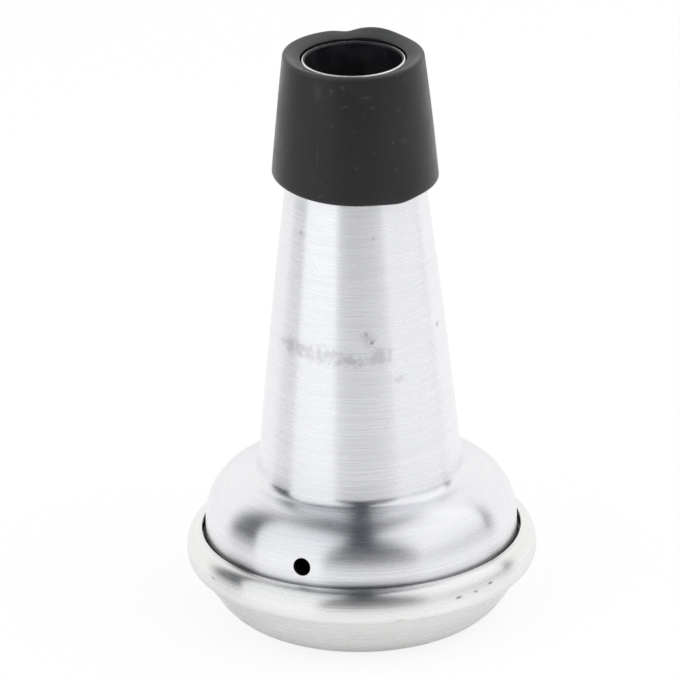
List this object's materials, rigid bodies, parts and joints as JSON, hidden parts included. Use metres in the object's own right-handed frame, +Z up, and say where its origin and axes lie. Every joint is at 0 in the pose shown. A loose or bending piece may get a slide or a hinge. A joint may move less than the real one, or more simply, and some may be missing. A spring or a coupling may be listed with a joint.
{
  "type": "trumpet practice mute",
  "caption": "Hollow spun-aluminium cone with a rubber sleeve at its mouth and a closed bulb at its foot; plugs a trumpet's bell to quieten it, venting through a small hole.",
  "frame": {"origin": "centre of the flat under the base cap, on the surface the mute stands on", "axes": "+Z up the mute's axis from the base cap to the mouth; -Y is the side the picture shows, with the vent turned 22.6 degrees from it towards -X"},
  "size_m": [0.0856, 0.0856, 0.1451],
  "materials": {
    "brushed_aluminium": "lathe-brushed, semi-gloss",
    "spun_aluminium": "as spun, satin with faint turning rings",
    "black_rubber": "matte with dust and small scuffs",
    "sealing_rubber": "matte",
    "grey_foam": "open-cell foam"
  },
  "bodies": {
    "root": {"cone_body": "brushed_aluminium", "base_cap": "spun_aluminium", "rubber_collar": "black_rubber", "seam_gasket": "sealing_rubber", "foam_disc": "grey_foam"}
  },
  "joints": []
}
